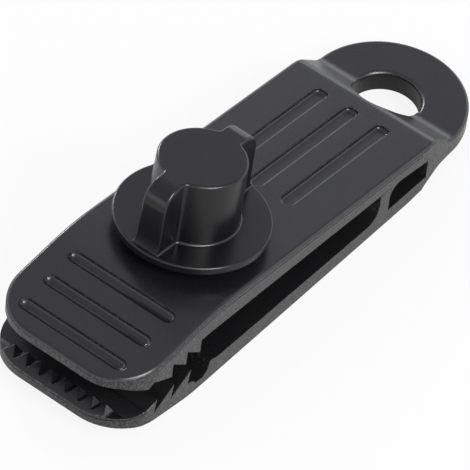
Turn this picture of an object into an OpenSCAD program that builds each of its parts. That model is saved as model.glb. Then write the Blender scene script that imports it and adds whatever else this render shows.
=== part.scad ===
// Tarp clip: one bent moulding with toothed jaws and an eyelet, drawn shut by a winged thumb screw.
// Millimetres. X runs from the toothed nose to the eyelet, Y across, Z up from the underside.

/* [Overall] */
// Length from the lower nose to the end of the eyelet
body_l = 108.4; // [98:0.4:122]
// Width of both plates
body_w = 31; // [28:0.5:35]
// Rounding along the outer top edges
edge_r = 0.9; // [0.4:0.1:1.2]

/* [Lower jaw] */
// Thickness of the lower plate where the mouth begins
lower_t = 4; // [3.6:0.1:4.4]
// Thickness of the lower plate under the web and the window
lower_rear_t = 3.15; // [2.7:0.05:3.5]
// Corner radius of the lower nose, seen from above
lower_corner_r = 9.1; // [6:0.1:10.5]
// Distance from the front to the line where the lower nose starts to rise
lower_bend_at = 18.7; // [17.6:0.1:19.8]
// Upward slope of the lower nose in degrees
lower_nose_slope = 10.3; // [8:0.1:11]
// Height of the front edge of the lip
lip_z = 5.5; // [5.2:0.05:5.8]
// Distance from the front to the tips of the lip teeth
lip_tip_at = 3.05; // [2.6:0.05:3.4]
// Height of the lip teeth above the lip's edge
lip_tooth_h = 1.15; // [0.8:0.05:1.3]
// Distance from the front to the start of the notches between the lip teeth
lip_notch_at = 0.7; // [0.5:0.05:1.2]
// Length of the steep backs of the lip teeth
lip_back_l = 0.65; // [0.4:0.05:0.8]
// Height of the wall left between the lip teeth, above the floor
lip_wall_h = 0.15; // [0.1:0.05:0.4]
// Least room beside the row of lip teeth
lip_row_margin = 4.2; // [3.2:0.1:7]
// Width of the flat left on each lip tooth's tip
lip_tooth_flat = 0.2; // [0.1:0.05:0.5]
// Spacing of the lip teeth
lip_tooth_pitch = 2.8; // [2.4:0.05:2.9]
// Height of the ribbed floor behind the lip teeth
floor_z = 5.05; // [4.8:0.05:5.15]
// Rise of that floor up to the foot of the first barb
floor_rise = 0.4; // [0.1:0.05:0.5]
// Spacing of the fine ribs on that floor
rib_pitch = 0.9; // [0.7:0.05:1.1]
// Height of the fine ribs
rib_h = 0.22; // [0.1:0.02:0.3]
// Distance from the front to the first lower barb's tip
barb_at = 9.6; // [9.4:0.1:9.9]
// Length of the first lower barb's front slope
barb_slope_l = 2.5; // [2:0.1:2.8]
// Spacing of the lower barbs
barb_pitch = 4.5; // [4.2:0.05:4.7]
// Height of the lower barb tips
barb_tip_z = 6.65; // [6.3:0.05:6.75]
// Height of the valleys between the lower barbs
barb_root_z = 3.6; // [3.4:0.05:3.9]
// How far each barb's back leans under its tip
barb_hook = 0.6; // [0.2:0.05:0.8]
// Distance from the last lower barb's tip to the trough's floor
trough_gap = 1.7; // [1.5:0.05:2]
// Height of the trough's floor behind the barbs
trough_z = 1.8; // [1.5:0.05:2.2]
// Distance from the front to the rear wall of the trough
trough_end_at = 23.9; // [23.5:0.1:24.7]
// Length of the trough's rear slope
trough_slope_l = 1.6; // [1.2:0.05:1.8]
// Rise of the small lip at the trough's rear wall
trough_lip_h = 0.5; // [0.2:0.05:0.7]

/* [Upper jaw] */
// How far the upper nose stops behind the lower one
upper_set_back = 1; // [0.7:0.1:1.8]
// Corner radius of the upper nose, seen from above
upper_corner_r = 9; // [6:0.1:10.5]
// Distance from the front to the line where the upper nose bends down
upper_bend_at = 23.2; // [22.6:0.1:24.2]
// Radius of that bend along the plate's top
bend_r = 40; // [24:1:42]
// Height of the upper plate's top where its two slopes would meet
top_z = 16.8; // [16.5:0.1:17.5]
// Downward slope of the upper plate to the rear in degrees
plate_tilt = 5.5; // [5:0.1:5.8]
// Downward slope of the upper nose to the front in degrees
nose_droop = 7.4; // [6:0.1:7.9]
// Thickness of the upper plate at the bend
upper_front_t = 4.75; // [4.4:0.05:5]
// Thickness of the upper plate at the web
upper_rear_t = 3.5; // [3.2:0.05:3.8]
// Thickness of the upper nose at its front face
nose_front_t = 2.1; // [1.7:0.05:2.3]
// Distance from the front to the tip of the first upper tooth
upper_tooth_at = 7.4; // [6.8:0.1:7.9]
// Depth of the first upper tooth below the nose's underside
upper_tooth_h = 1.45; // [0.9:0.05:1.6]
// Length of the first upper tooth's back
upper_tooth_back = 1.1; // [0.8:0.05:1.4]
// Distance from the front to the first upper barb's tip
upper_barb_at = 13.2; // [12.9:0.1:13.5]
// Spacing of the upper barbs
upper_barb_pitch = 3.75; // [3.5:0.05:3.9]
// Lean of the upper barbs' backs
upper_barb_draft = 0.05; // [0.02:0.01:0.2]
// Depth of the upper barbs
upper_barb_h = 3; // [2.5:0.05:3.1]
// Distance from the front to the first cross groove
cross_groove_at = 5.4; // [5.1:0.1:5.9]
// Spacing of the cross grooves
cross_groove_pitch = 6.3; // [5.8:0.05:6.5]
// Width of the cross grooves
cross_groove_w = 2.5; // [2:0.05:3]
// Distance from the plate's sides to the ends of the cross grooves
cross_groove_margin = 4.2; // [4:0.1:6.5]
// Distance from the knob's flange to the start of the long grooves
long_groove_gap = 3.85; // [2.5:0.05:6]
// Distance from the end of the long grooves to the end of the window
long_groove_end_gap = 1.9; // [1.5:0.05:7]
// Width of the long grooves
long_groove_w = 2.75; // [2:0.05:3.4]
// Spacing of the long grooves
long_groove_pitch = 6.75; // [5.5:0.05:7.5]
// Corner radius at the rear end of the long grooves
long_groove_end_r = 0.6; // [0.3:0.05:0.9]
// Depth of all the grooves
groove_depth = 0.8; // [0.4:0.05:1]

/* [Web and window] */
// Thickness of the web
web_t = 2.95; // [2.4:0.05:3.6]
// Radius of the web's foot inside the mouth
web_foot_r = 3; // [1.5:0.1:3.5]
// Length of the window behind the web
window_l = 11.1; // [10:0.1:12]
// Radius of the window's upper front corner
window_r = 2.5; // [1:0.1:3]
// Thickness of the leaf over the window at the web
leaf_front_t = 3.2; // [2.8:0.05:3.5]
// Thickness of the leaf over the window at its rear
leaf_rear_t = 3.75; // [3.3:0.05:4]

/* [Rear block and eyelet] */
// Distance from the foot of the sloping facet to the eyelet's centre
eyelet_gap = 0.6; // [0.4:0.1:2]
// Distance from the window to the ridge of the rear step
ridge_gap = 1.9; // [1.2:0.1:2.6]
// Length of the sloping facet below the ridge
facet_l = 5.7; // [4.5:0.1:6.5]
// Height of the eyelet's top
eyelet_top_z = 6.6; // [6.2:0.1:7]
// How far each side of the eyelet lies inside the plates' sides
eyelet_inset = 0.5; // [0.1:0.1:1]
// Thickness of the eyelet
eyelet_t = 4.2; // [3.6:0.1:4.6]
// Diameter of the eyelet's hole
eyelet_hole_d = 12.8; // [10:0.1:13.4]
// Rounding of the hole's upper rim
eyelet_rim_r = 1; // [0.3:0.1:1.2]
// Rounding of the eyelet's outer edges
eyelet_edge_r = 1.1; // [0.5:0.1:1.5]
// Distance from the window back along the plate to where the underside starts to rise
under_rise_gap = 5; // [3:0.1:6]
// Height of the underside below the window's rear
under_mid_z = 0.45; // [0.2:0.05:0.7]
// Length of the underside's slope up to the eyelet
under_slope_l = 4.5; // [3.5:0.1:5]

/* [Thumb knob] */
// Distance from the front to the screw axis at the upper plate's top
knob_at = 36.3; // [35.8:0.1:37.4]
// Gap between the knob's collar and the upper plate
seat_gap = 0.1; // [0.05:0.01:0.2]
// Diameter of the collar that bears on the upper plate
collar_d = 18; // [14:0.5:21]
// Height of the flange's underside above the upper plate
flange_lift = 2.3; // [1.7:0.1:2.7]
// Diameter of the flange
flange_d = 27.5; // [26.9:0.1:29]
// Thickness of the flange
flange_t = 1.6; // [1.2:0.05:2]
// Rounding of the flange's edge
flange_edge_r = 0.4; // [0.2:0.05:0.5]
// Diameter of the hub at the flange
hub_d = 16.2; // [15.8:0.1:17.4]
// Diameter of the hub at its top
hub_top_d = 15.6; // [15:0.1:15.8]
// Height of the hub's top above the upper plate
knob_h = 16.6; // [15:0.1:18]
// Rounding of the hub's upper rim
hub_rim_r = 0.5; // [0.2:0.05:0.9]
// Distance across the two wings
wing_span = 25.4; // [23:0.1:26]
// Distance across the feet of the wings on the flange
wing_foot_span = 26.6; // [26.1:0.1:26.8]
// Radius of the wings' upper corners
wing_corner_r = 3.8; // [3:0.1:6]
// Radius of the flare at the feet of the wings
wing_flare_r = 7; // [5:0.1:9]
// Thickness of the wings at the flange
wing_t = 5; // [4.4:0.1:6]
// Thickness of the wings at their top
wing_top_t = 4.6; // [3.6:0.1:4.8]

/* [Screw and nut] */
// Diameter of the screw
screw_d = 6; // [5:0.1:6.4]
// Height of the screw's end above the underside
screw_end_z = 1.9; // [1.8:0.05:2.6]
// Width across the flats of the screw's head in the hub
head_af = 10; // [8.5:0.1:10.6]
// Height of the screw's head
head_h = 4; // [3:0.1:5]
// Distance from the hub's top to the screw's head
head_cover = 2.4; // [1.5:0.1:4]
// Radial clearance of the screw in the upper plate
screw_clear = 0.35; // [0.2:0.05:0.8]
// Width across the flats of the nut
nut_af = 10; // [9:0.1:11]
// Height of the nut
nut_h = 5; // [3:0.1:5.2]
// Radial play of the screw in the nut, which lets it lean as the jaw closes
nut_play = 0.4; // [0.4:0.02:0.6]
// Depth of the nut's lower face above the underside
nut_recess = 0.4; // [0.3:0.05:0.8]
// Offset of the nut towards the screw's mean place over the jaw's travel
nut_shift = 0.14; // [0.1:0.01:0.18]
// Clearance round the nut in its pocket
nut_pocket_gap = 0.05; // [0.02:0.01:0.15]
// Diameter of the boss over the nut
boss_d = 15; // [14:0.1:17]
// Thickness of the boss above the nut
boss_roof_t = 1.6; // [1.2:0.05:2]

/* [Hidden] */
$fn = 96;
// Pieces of the clip
shade = [0.09, 0.09, 0.095];
steel = [0.62, 0.62, 0.6];
// Room for cutters past a face, overlap inside one piece, and the size of the large blanks
past = 1;
sink = 0.5;
blank = 60;
// Share of a fine rib's length that rises
rib_rise = 0.65;
// Steps along the window's rounded corner
corner_steps = 12;
lower_barb_n = 3;
upper_barb_n = 3;
cross_groove_n = 3;
long_groove_n = 3;

// Turns a distance from the front into an X position
function at(d) = d - body_l / 2;
front_x = at(0);
lower_bend_x = at(lower_bend_at);
upper_front_x = at(upper_set_back);
upper_bend_x = at(upper_bend_at);
knob_x = at(knob_at);
eyelet_r = body_w / 2 - eyelet_inset;
eyelet_x = at(body_l - eyelet_r);
facet_x = eyelet_x - eyelet_gap;
ridge_x = facet_x - facet_l;
window_x = ridge_x - ridge_gap;
web_back_x = window_x - window_l;
web_x = web_back_x - web_t;
under_rise_x = window_x - under_rise_gap;

// Heights of the upper plate's top and underside at an X position
function plate_top(x) = top_z - (x - upper_bend_x) * tan(plate_tilt);
function nose_top(x) = top_z - (upper_bend_x - x) * tan(nose_droop);
function lower_under(x) = (lower_bend_x - x) * tan(lower_nose_slope);
function between(a, b, f) = a + (b - a) * f;
root_z = top_z - upper_front_t;
under_web_z = plate_top(web_x) - upper_rear_t;
leaf_front_z = plate_top(web_back_x) - leaf_front_t;
leaf_rear_z = plate_top(window_x) - leaf_rear_t;
nose_under_z = nose_top(upper_front_x) - nose_front_t;
ridge_z = plate_top(ridge_x);
facet_tilt = atan2(ridge_z - eyelet_top_z, facet_l);
eyelet_under_z = eyelet_top_z - eyelet_t;
under_end_x = window_x + under_slope_l;
under_end_tilt = atan2(eyelet_under_z - under_mid_z, under_end_x - window_x);

// Bend of the upper plate: its turn and the centre of its arc
bend_turn = plate_tilt + nose_droop;
bend_lean = (plate_tilt - nose_droop) / 2;
bend_reach = bend_r / cos(bend_turn / 2);
bend_mid_x = upper_bend_x - bend_reach * sin(bend_lean);
bend_mid_z = top_z - bend_reach * cos(bend_lean);

// Rows that follow the width, and the long grooves between the knob and the window
lip_tooth_n = floor((body_w - 2 * lip_row_margin) / lip_tooth_pitch);
cross_groove_l = body_w - 2 * cross_groove_margin;
long_groove_x = knob_x + flange_d / 2 + long_groove_gap;
long_groove_l = (window_x - long_groove_end_gap - long_groove_x) / cos(plate_tilt);

// Ribbed floor between the lip teeth and the first lower barb
floor_x = at(lip_tip_at + lip_back_l);
floor_end_x = at(barb_at - barb_slope_l);
floor_end_z = floor_z + floor_rise;
rib_n = floor((floor_end_x - floor_x) / rib_pitch);
function floor_at(x) = between(floor_z, floor_end_z, (x - floor_x) / (floor_end_x - floor_x));

// Knob heights along the screw axis, from the upper plate's top
knob_z = plate_top(knob_x);
flange_top = flange_lift + flange_t;
wing_flare_w = (wing_foot_span - wing_span) / 2;
wing_flare_h = sqrt(pow(wing_flare_r, 2) - pow(wing_flare_r - wing_flare_w, 2));
head_z = knob_h - head_cover - head_h;
screw_end = (screw_end_z - knob_z) / cos(plate_tilt);
nut_z = nut_recess;
boss_z = nut_z + nut_h + boss_roof_t;
nut_mid_z = nut_z + nut_h / 2;
nut_x = knob_x - (knob_z - nut_mid_z) * tan(plate_tilt) + nut_shift;

// Extrudes an outline drawn in X and Z across the width
module across(w) {
    translate([0, w / 2, 0]) rotate([90, 0, 0]) linear_extrude(w) children();
}

// Half section of a disc with a rounded upper edge, drawn from its axis
module disc_section(r, h, e) {
    square([r - e, h]);
    square([r, h - e]);
    translate([r - e, h - e]) circle(e);
}

// Half section of a disc with both edges rounded
module ring_section(r, h, e) {
    square([r - e, h]);
    translate([0, e]) square([r, h - 2 * e]);
    for (z = [e, h - e]) translate([r - e, z]) circle(e);
}

// Section of a strip with rounded upper edges, standing on its base
module strip_section(w, h, e) {
    translate([-w / 2, 0]) square([w, h - e]);
    translate([-w / 2 + e, 0]) square([w - 2 * e, h]);
    for (s = [-1, 1]) translate([s * (w / 2 - e), h - e]) circle(e);
}

// Long blank under a sloping top plane through the given point
module slab(x, z, tilt, e, w = body_w) {
    translate([x, 0, z]) rotate([0, tilt, 0]) translate([-2 * blank, 0, -blank])
        rotate([90, 0, 90]) linear_extrude(4 * blank) strip_section(w, blank, e);
}

// Long blank above a sloping underside through the given point
module keel(x, z, tilt, e, w = body_w) {
    translate([x, 0, z]) rotate([0, tilt, 0]) mirror([0, 0, 1]) translate([-2 * blank, 0, -blank])
        rotate([90, 0, 90]) linear_extrude(4 * blank) strip_section(w, blank, e);
}

// Blank with rounded front corners whose top starts at the origin and runs back along X
module tongue(r, h, e, run) {
    for (s = [-1, 1]) translate([r, s * (body_w / 2 - r), -h]) rotate_extrude() disc_section(r, h, e);
    translate([r, 0, -h]) rotate([90, 0, 90]) linear_extrude(run - r) strip_section(body_w, h, e);
    translate([0, 0, -h]) across(body_w - 2 * r) translate([r, 0]) mirror([1, 0]) disc_section(r, h, e);
}

// Round-ended slot along Y, drawn from above
module cross_slot() {
    run = cross_groove_l / 2 - cross_groove_w / 2;
    square([cross_groove_w, 2 * run], center = true);
    for (s = [-1, 1]) translate([0, s * run]) circle(d = cross_groove_w);
}

// Slot along X with a round front end and a squarer rear end, drawn from above
module long_slot() {
    r = long_groove_w / 2;
    e = long_groove_end_r;
    translate([r, 0]) circle(r);
    translate([r, -r]) square([long_groove_l - r - e, long_groove_w]);
    translate([r, -r + e]) square([long_groove_l - r, long_groove_w - 2 * e]);
    for (s = [-1, 1]) translate([long_groove_l - e, s * (r - e)]) circle(e);
}

// Long grooves cut into the upper plate and the leaf
module long_grooves() {
    translate([long_groove_x, 0, plate_top(long_groove_x)]) rotate([0, plate_tilt, 0])
        for (i = [0 : long_groove_n - 1])
            translate([0, (i - (long_groove_n - 1) / 2) * long_groove_pitch, -groove_depth])
                linear_extrude(groove_depth + past) long_slot();
}

// Lower plate, raised nose, barbs and rear block seen from the side
module lower_outline() {
    barb_x = at(barb_at);
    ribs = [for (i = [0 : rib_n - 1]) each [
        [floor_x + i * rib_pitch, floor_at(floor_x + i * rib_pitch)],
        [floor_x + (i + rib_rise) * rib_pitch, floor_at(floor_x + (i + rib_rise) * rib_pitch) + rib_h]]];
    barbs = [for (i = [0 : lower_barb_n - 1]) each [
        [barb_x + i * barb_pitch, barb_tip_z],
        [barb_x + i * barb_pitch - barb_hook, barb_root_z]]];
    last_x = barb_x + (lower_barb_n - 1) * barb_pitch;
    end_x = at(trough_end_at);
    polygon(concat(
        [[front_x, lower_under(front_x)], [front_x, lip_z], [floor_x - lip_back_l, between(floor_z, lip_z, 0.5)]],
        ribs,
        [[floor_end_x, floor_end_z]],
        barbs,
        [[last_x + trough_gap / 2, between(barb_root_z, trough_z, 0.3)]],
        [[last_x + trough_gap, between(trough_z, barb_root_z, 0.1)], [end_x - trough_slope_l, trough_z]],
        [[end_x - trough_slope_l * 0.35, between(trough_z, lower_t, 0.4)], [end_x, lower_t + trough_lip_h]],
        [[end_x + trough_lip_h, lower_t + trough_lip_h], [end_x + 4 * trough_lip_h, lower_t]],
        [[web_x - web_foot_r, lower_rear_t], [window_x, lower_rear_t]],
        [[window_x, plate_top(window_x) + past], [ridge_x, ridge_z + past], [facet_x, eyelet_top_z + past]],
        [[eyelet_x, eyelet_top_z + past], [eyelet_x, eyelet_under_z], [under_end_x, eyelet_under_z]],
        [[window_x, under_mid_z], [under_rise_x, 0], [lower_bend_x, 0]]));
}

// Ridge of pyramid teeth along the front lip
module lip_teeth() {
    row = lip_tooth_n * lip_tooth_pitch;
    tip_x = at(lip_tip_at);
    tip_z = lip_z + lip_tooth_h;
    notch_x = at(lip_notch_at);
    notch_z = between(lip_z, tip_z, lip_notch_at / lip_tip_at);
    notch_drop = (notch_z - floor_z - lip_wall_h) / (floor_x - notch_x);
    deep = tip_z - notch_z + notch_drop * (tip_x - notch_x);
    wide = (lip_tooth_pitch - lip_tooth_flat) / 2;
    difference() {
        across(row) polygon([[front_x - lip_tip_at, lip_z - sink], [front_x - lip_tip_at, lip_z - lip_tooth_h],
            [tip_x, tip_z], [between(tip_x, floor_x, 1.3), between(tip_z, floor_z, 1.3)]]);
        for (i = [0 : lip_tooth_n])
            translate([notch_x, (i - lip_tooth_n / 2) * lip_tooth_pitch, notch_z]) rotate([0, atan(notch_drop), 0])
                rotate([90, 0, 90]) linear_extrude(2 * lip_tip_at)
                    polygon([[0, 0], [2 * wide, 2 * deep], [-2 * wide, 2 * deep]]);
    }
}

// Plan of the lower plate, whose sides close in from the ridge to the eyelet
module rear_plan() {
    start_x = front_x - past;
    start_y = eyelet_r + eyelet_inset * (eyelet_x - start_x) / (eyelet_x - ridge_x);
    translate([0, 0, -blank]) linear_extrude(2 * blank)
        polygon([[start_x, -start_y], [eyelet_x, -eyelet_r], [eyelet_x, eyelet_r], [start_x, start_y]]);
}

// Lower plate with its lip teeth, trimmed to the nose's corners and the sloping tops at the rear
module lower_plate() {
    intersection() {
        union() {
            across(body_w) lower_outline();
            lip_teeth();
        }
        translate([front_x, 0, blank]) tongue(lower_corner_r, 2 * blank, edge_r, 4 * blank);
        rear_plan();
        union() {
            intersection() {
                slab(ridge_x, ridge_z, plate_tilt, edge_r);
                slab(ridge_x, ridge_z, facet_tilt, (edge_r + eyelet_edge_r) / 2);
            }
            slab(eyelet_x, eyelet_top_z, 0, eyelet_edge_r, 2 * eyelet_r);
        }
        union() {
            keel(window_x, under_mid_z, -under_end_tilt, edge_r);
            keel(eyelet_x, eyelet_under_z, 0, eyelet_edge_r, 2 * eyelet_r);
        }
    }
}

// Outer half of the eyelet with rounded edges
module eyelet_end() {
    translate([eyelet_x, 0, eyelet_under_z]) rotate([0, 0, -90])
        rotate_extrude(angle = 180) ring_section(eyelet_r, eyelet_t, eyelet_edge_r);
}

// Hole of the eyelet with its rounded upper rim
module eyelet_hole() {
    r = eyelet_hole_d / 2;
    translate([eyelet_x, 0, -past]) cylinder(r = r, h = blank);
    // The rim is rounded on the flat behind the facet only
    intersection() {
        translate([eyelet_x, 0, eyelet_top_z - eyelet_rim_r]) rotate_extrude() difference() {
            square([r + eyelet_rim_r, eyelet_rim_r + past]);
            translate([r + eyelet_rim_r, 0]) circle(eyelet_rim_r);
        }
        translate([eyelet_x - eyelet_gap / 2, -blank / 2, 0]) cube(blank);
    }
}

// Lower half of the moulding with the eyelet and the nut's boss
module lower_jaw() {
    color(shade) difference() {
        union() {
            lower_plate();
            eyelet_end();
            translate([nut_x, 0, 0]) cylinder(d = boss_d, h = boss_z);
        }
        eyelet_hole();
        translate([nut_x, 0, -past]) cylinder(d = screw_d + 2 * nut_play, h = boss_z + 2 * past);
        translate([nut_x, 0, -past])
            cylinder(d = (nut_af + 2 * nut_pocket_gap) / cos(30), h = nut_z + nut_h + past, $fn = 6);
    }
}

// Upper plate and its barbs seen from the side
module upper_outline() {
    barb_x = at(upper_barb_at);
    tooth_x = at(upper_tooth_at);
    barbs = [for (i = [0 : upper_barb_n - 1]) each [
        [barb_x + i * upper_barb_pitch, root_z - upper_barb_h],
        [barb_x + i * upper_barb_pitch + upper_barb_draft, root_z]]];
    tooth_z = nose_under_z - upper_tooth_h;
    polygon(concat(
        [[upper_front_x, nose_under_z], [upper_front_x + nose_front_t, nose_under_z]],
        [[tooth_x, tooth_z], [tooth_x + upper_tooth_back, between(tooth_z, root_z, 0.62)]],
        barbs,
        [[upper_bend_x, root_z], [web_x, under_web_z], [web_x, blank], [upper_front_x, blank]]));
}

// Blank under a slope that touches the bend's arc at a share of its turn
module bend_slab(share) {
    a = plate_tilt - bend_turn * share;
    slab(bend_mid_x + bend_r * sin(a), bend_mid_z + bend_r * cos(a), a, edge_r);
}

// Upper half of the moulding, from the nose to the web
module upper_jaw() {
    nose_l = (upper_bend_x - upper_front_x) / cos(nose_droop);
    color(shade) difference() {
        intersection() {
            across(body_w) upper_outline();
            slab(upper_bend_x, top_z, plate_tilt, edge_r);
            bend_slab(0.5);
            translate([upper_bend_x, 0, top_z]) rotate([0, -nose_droop, 0]) translate([-nose_l, 0, 0])
                tongue(upper_corner_r, blank, edge_r, 4 * blank);
        }
        long_grooves();
        translate([upper_bend_x, 0, top_z]) rotate([0, -nose_droop, 0])
            for (i = [0 : cross_groove_n - 1])
                translate([(at(cross_groove_at + i * cross_groove_pitch) - upper_bend_x) / cos(nose_droop), 0,
                    -groove_depth]) linear_extrude(groove_depth + past) cross_slot();
        translate([knob_x, 0, knob_z]) rotate([0, plate_tilt, 0])
            translate([0, 0, -blank / 2]) cylinder(d = screw_d + 2 * screw_clear, h = blank);
    }
}

// Upright post that joins the plates and bends as the jaw closes
module flex_web() {
    foot_x = web_x - web_foot_r;
    foot_z = lower_rear_t + web_foot_r;
    color(shade) across(body_w) difference() {
        polygon([[foot_x, lower_rear_t], [foot_x, foot_z], [web_x, foot_z], [web_x, under_web_z],
            [web_back_x, leaf_front_z], [web_back_x, lower_rear_t]]);
        translate([foot_x, foot_z]) circle(web_foot_r);
    }
}

// Strip over the window that ties the upper plate to the rear block
module rear_leaf() {
    slope = atan2(leaf_front_z - leaf_rear_z, window_l);
    mid_x = web_back_x + window_r;
    meet_x = mid_x + window_r * sin(slope);
    meet_z = leaf_front_z - (meet_x - web_back_x) * tan(slope);
    mid_z = meet_z - window_r * cos(slope);
    corner = [for (i = [0 : corner_steps]) let (a = 180 - (90 + slope) * i / corner_steps)
        [mid_x + window_r * cos(a), mid_z + window_r * sin(a)]];
    color(shade) difference() {
        intersection() {
            across(body_w) polygon(concat([[web_x, under_web_z], [web_back_x, leaf_front_z]], corner,
                [[window_x, leaf_rear_z], [window_x, blank], [web_x, blank]]));
            slab(ridge_x, ridge_z, plate_tilt, edge_r);
        }
        long_grooves();
    }
}

// Two wings seen from the front, with round upper corners and flared feet
module wing_outline() {
    half = wing_span / 2;
    inner = half - wing_corner_r;
    translate([-half, flange_top - sink]) square([wing_span, knob_h - wing_corner_r - flange_top + sink]);
    translate([-inner, flange_top - sink]) square([2 * inner, knob_h - flange_top + sink]);
    for (s = [-1, 1]) {
        translate([s * inner, knob_h - wing_corner_r]) circle(wing_corner_r);
        difference() {
            translate([s > 0 ? half : -half - wing_flare_w, flange_top]) square([wing_flare_w, wing_flare_h]);
            translate([s * (half + wing_flare_r), flange_top + wing_flare_h]) circle(wing_flare_r);
        }
    }
}

// Wings trimmed so that they thin towards the top
module wings() {
    base = flange_top - sink;
    intersection() {
        across(wing_t) wing_outline();
        translate([-blank / 2, 0, 0]) rotate([90, 0, 90]) linear_extrude(blank)
            polygon([[-wing_t / 2, base], [wing_t / 2, base], [wing_t / 2, flange_top], [wing_top_t / 2, knob_h],
                [-wing_top_t / 2, knob_h], [-wing_t / 2, flange_top]]);
    }
}

// Hub with slightly tapered wall and a rounded rim
module hub() {
    r = hub_top_d / 2;
    e = hub_rim_r;
    rotate_extrude() {
        polygon([[0, flange_top - sink], [hub_d / 2, flange_top - sink], [hub_d / 2, flange_top], [r, knob_h - e],
            [r - e, knob_h], [0, knob_h]]);
        translate([r - e, knob_h - e]) circle(e);
    }
}

// Shank and head of the screw along its axis
module screw_form() {
    translate([0, 0, screw_end]) cylinder(d = screw_d, h = head_z - screw_end);
    translate([0, 0, head_z]) cylinder(d = head_af / cos(30), h = head_h, $fn = 6);
}

// Places a piece on the screw axis, square to the upper plate
module on_axis() {
    translate([knob_x, 0, knob_z]) rotate([0, plate_tilt, 0]) children();
}

// Thumb knob moulded round the screw's head
module thumb_knob() {
    color(shade) on_axis() difference() {
        union() {
            translate([0, 0, seat_gap]) cylinder(d = collar_d, h = flange_lift + flange_t / 2 - seat_gap);
            translate([0, 0, flange_lift]) rotate_extrude() ring_section(flange_d / 2, flange_t, flange_edge_r);
            hub();
            wings();
        }
        screw_form();
    }
}

// Steel screw held in the knob
module knob_screw() {
    color(steel) on_axis() screw_form();
}

// Steel nut held in the boss of the lower plate
module captive_nut() {
    color(steel) translate([nut_x, 0, nut_z]) difference() {
        cylinder(d = nut_af / cos(30), h = nut_h, $fn = 6);
        translate([0, 0, -past]) cylinder(d = screw_d + 2 * nut_play, h = nut_h + 2 * past);
    }
}

lower_jaw();
upper_jaw();
flex_web();
rear_leaf();
thumb_knob();
knob_screw();
captive_nut();
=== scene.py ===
"""Tarp clip with a winged thumb knob: the moulded body, the knob, its screw and its nut."""
import logging
import math
from dataclasses import dataclass, field
from enum import Enum, IntEnum
from typing import Any, Callable

import bmesh
import bpy
from mathutils import Matrix, Quaternion, Vector


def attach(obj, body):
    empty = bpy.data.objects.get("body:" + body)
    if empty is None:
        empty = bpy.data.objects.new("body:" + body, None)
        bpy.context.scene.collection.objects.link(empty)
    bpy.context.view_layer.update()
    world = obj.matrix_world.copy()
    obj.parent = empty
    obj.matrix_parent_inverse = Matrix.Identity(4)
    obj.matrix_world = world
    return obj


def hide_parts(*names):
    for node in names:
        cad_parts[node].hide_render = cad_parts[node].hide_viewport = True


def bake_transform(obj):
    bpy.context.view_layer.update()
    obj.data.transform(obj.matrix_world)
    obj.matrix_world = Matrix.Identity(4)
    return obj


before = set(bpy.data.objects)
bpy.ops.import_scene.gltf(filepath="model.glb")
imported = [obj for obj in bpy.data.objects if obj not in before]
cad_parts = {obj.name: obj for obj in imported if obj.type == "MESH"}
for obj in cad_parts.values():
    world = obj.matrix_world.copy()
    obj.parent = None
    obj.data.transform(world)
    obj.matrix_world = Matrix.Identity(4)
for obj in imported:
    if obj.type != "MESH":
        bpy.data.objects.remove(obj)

LOG = logging.getLogger("tarp_clip")
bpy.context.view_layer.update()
MM = 0.001
IMAGE_SIDE = 470
SENSOR_MM = 36.0
TOUCH = 0.0005
NEAR = 0.01
HALF = 0.5
FLAT = math.radians(0.2)
SHARP = math.radians(31.0)
FACES_UP = 0.6
UPRIGHT = 0.3
FINE_ROUND = 96
PLAIN_ROUND = 48
HEX = 6
SMALL_STEPS = 2
QUARTER_TURN = Matrix.Rotation(math.radians(90.0), 4, "Z")
STEEL_NODES = ("knob_screw", "captive_nut")
KNOB_DARK = (0.0030, 0.0030, 0.0036)
KNOB_PALE = (0.0065, 0.0065, 0.0074)


class Slot(Enum):
    """Material slots of the record."""

    BODY = "body"
    KNOB = "knob"
    SCREW = "screw"
    NUT = "nut"


class Axis(IntEnum):
    """Axes of the frame."""

    X = 0
    Y = 1
    Z = 2


class Join(Enum):
    """Ways to combine two solids."""

    ADD = "UNION"
    CUT = "DIFFERENCE"
    COMMON = "INTERSECT"


class Value:
    """A shader value that can be used in sums and products."""

    def __init__(self, tree: "ShaderTree", socket: bpy.types.NodeSocket) -> None:
        """Wraps one output socket of a tree."""
        self.tree = tree
        self.socket = socket

    def __add__(self, other: Any) -> "Value":
        """Adds a value or a number."""
        return self.tree.maths("ADD", self, other)

    def __sub__(self, other: Any) -> "Value":
        """Takes a value or a number away."""
        return self.tree.maths("SUBTRACT", self, other)

    def __rsub__(self, other: Any) -> "Value":
        """Takes this value away from a number."""
        return self.tree.maths("SUBTRACT", other, self)

    def __mul__(self, other: Any) -> "Value":
        """Multiplies by a value or a number."""
        return self.tree.maths("MULTIPLY", self, other)

    __radd__ = __add__
    __rmul__ = __mul__


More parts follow.
